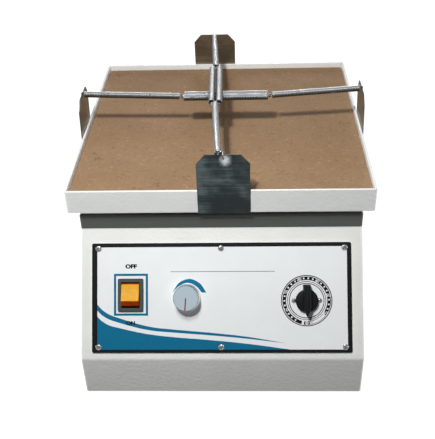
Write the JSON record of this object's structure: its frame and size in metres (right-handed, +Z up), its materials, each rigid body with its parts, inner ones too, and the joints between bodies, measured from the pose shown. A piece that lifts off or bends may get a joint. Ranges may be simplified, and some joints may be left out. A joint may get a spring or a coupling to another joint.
{
  "type": "laboratory rotator",
  "caption": "Bench rotator with a sloping control face and a square platform, crossed by hold-down springs, that an eccentric crank swings in a small circle.",
  "frame": {"origin": "on the bench, under the middle of the whole machine's outer box", "axes": "+Z up, the sloping control face towards -Y, the switch on the -X side"},
  "size_m": [0.3092, 0.3814, 0.2548],
  "materials": {
    "painted_steel": "hammertone paint",
    "printed_panel": "printed, satin",
    "zinc_plate": "zinc plated",
    "black_plastic": "moulded",
    "amber_lens": "translucent moulding",
    "silver_knob": "satin",
    "rubber": "matte",
    "tan_mat": "matte, speckled",
    "bright_steel": "bright",
    "clip_steel": "dark brushed",
    "cast_metal": "machined casting",
    "aluminium": "turned",
    "circuit_board": "circuit board"
  },
  "bodies": {
    "base": {"cabinet_shell": "painted_steel", "base_plate": "zinc_plate", "foot_front_left": "rubber", "foot_front_right": "rubber", "foot_back_left": "rubber", "foot_back_right": "rubber", "control_panel": "printed_panel", "panel_screw_1": "bright_steel", "panel_screw_2": "bright_steel", "panel_screw_3": "bright_steel", "panel_screw_4": "bright_steel", "panel_screw_5": "bright_steel", "panel_screw_6": "bright_steel", "switch_body": "black_plastic", "speed_potentiometer": "zinc_plate", "timer_body": "zinc_plate", "timer_screw_left": "bright_steel", "timer_screw_right": "bright_steel", "mains_inlet": "black_plastic", "fuse_holder": "black_plastic", "motor": "cast_metal", "motor_bracket": "zinc_plate", "drive_belt": "rubber", "spindle_housing": "cast_metal", "upper_bearing": "bright_steel", "lower_bearing": "bright_steel", "idler_post_1": "zinc_plate", "idler_post_2": "zinc_plate", "idler_post_3": "zinc_plate", "control_board": "circuit_board"},
    "rocker": {"switch_rocker": "amber_lens"},
    "speed_dial": {"speed_knob": "silver_knob"},
    "timer_dial": {"timer_knob": "black_plastic"},
    "motor_rotor": {"motor_pulley": "aluminium"},
    "crank": {"crank_shaft": "bright_steel", "drive_pulley": "aluminium", "counterweight": "cast_metal"},
    "platform": {"platform_tray": "painted_steel", "platform_mat": "tan_mat", "platform_hub": "aluminium", "idler_socket_1": "zinc_plate", "idler_socket_2": "zinc_plate", "idler_socket_3": "zinc_plate", "spring_along_1": "bright_steel", "spring_along_2": "bright_steel", "spring_across_1": "bright_steel", "spring_across_2": "bright_steel", "spring_front": "bright_steel", "spring_back": "bright_steel", "spring_left": "bright_steel", "spring_right": "bright_steel"},
    "idler_1": {"idler_crank_1": "bright_steel"},
    "idler_2": {"idler_crank_2": "bright_steel"},
    "idler_3": {"idler_crank_3": "bright_steel"},
    "front_clip": {"clip_front": "clip_steel"},
    "back_clip": {"clip_back": "clip_steel"},
    "left_clip": {"clip_left": "clip_steel"},
    "right_clip": {"clip_right": "clip_steel"}
  },
  "joints": [
    {"name": "rocker_tilt", "type": "hinge", "parent": "base", "child": "rocker", "pos_m": [-0.0913, -0.15135, 0.1057], "axis": [1, 0, 0], "range_deg": [0, 26]},
    {"name": "speed_turn", "type": "hinge", "parent": "base", "child": "speed_dial", "pos_m": [-0.035, -0.15287, 0.10372], "axis": [0, -0.7954, 0.606], "range_deg": [-300, 0]},
    {"name": "timer_turn", "type": "hinge", "parent": "base", "child": "timer_dial", "pos_m": [0.0858, -0.15511, 0.10077], "axis": [0, -0.7954, 0.606], "range_deg": [-303.5, 0]},
    {"name": "drive_spin", "type": "hinge", "parent": "base", "child": "crank", "pos_m": [0, 0.02575, 0.12], "axis": [0, 0, 1], "continuous": true},
    {"name": "motor_spin", "type": "hinge", "parent": "base", "child": "motor_rotor", "pos_m": [-0.078, 0.08375, 0.088], "axis": [0, 0, 1], "continuous": true},
    {"name": "platform_swing", "type": "hinge", "parent": "crank", "child": "platform", "pos_m": [0, 0.03525, 0.19], "axis": [0, 0, 1], "continuous": true},
    {"name": "idler_1_spin", "type": "hinge", "parent": "base", "child": "idler_1", "pos_m": [0, 0.12575, 0.187], "axis": [0, 0, 1], "continuous": true},
    {"name": "idler_2_spin", "type": "hinge", "parent": "base", "child": "idler_2", "pos_m": [-0.0866, -0.02425, 0.187], "axis": [0, 0, 1], "continuous": true},
    {"name": "idler_3_spin", "type": "hinge", "parent": "base", "child": "idler_3", "pos_m": [0.0866, -0.02425, 0.187], "axis": [0, 0, 1], "continuous": true},
    {"name": "front_clip_lean", "type": "hinge", "parent": "platform", "child": "front_clip", "pos_m": [0.0042, -0.11725, 0.183], "axis": [1, 0, 0], "range_deg": [0, 12], "stiffness_Nm_per_rad": 0.23, "springref_deg": -20.05, "deforming": ["spring_front"]},
    {"name": "back_clip_lean", "type": "hinge", "parent": "platform", "child": "back_clip", "pos_m": [-0.0127, 0.18775, 0.183], "axis": [-1, 0, 0], "range_deg": [0, 12], "stiffness_Nm_per_rad": 0.23, "springref_deg": -20.05, "deforming": ["spring_back"]},
    {"name": "left_clip_lean", "type": "hinge", "parent": "platform", "child": "left_clip", "pos_m": [-0.1525, 0.01925, 0.183], "axis": [0, -1, 0], "range_deg": [0, 12], "stiffness_Nm_per_rad": 0.23, "springref_deg": -20.05, "deforming": ["spring_left"]},
    {"name": "right_clip_lean", "type": "hinge", "parent": "platform", "child": "right_clip", "pos_m": [0.1525, 0.02525, 0.183], "axis": [0, 1, 0], "range_deg": [0, 12], "stiffness_Nm_per_rad": 0.23, "springref_deg": -20.05, "deforming": ["spring_right"]}
  ],
  "couplings": [
    {"joint": "platform_swing", "follows": "drive_spin", "ratio": -1},
    {"joint": "motor_spin", "follows": "drive_spin", "ratio": 7.5},
    {"joint": "idler_1_spin", "follows": "drive_spin", "ratio": 1},
    {"joint": "idler_2_spin", "follows": "drive_spin", "ratio": 1},
    {"joint": "idler_3_spin", "follows": "drive_spin", "ratio": 1}
  ]
}
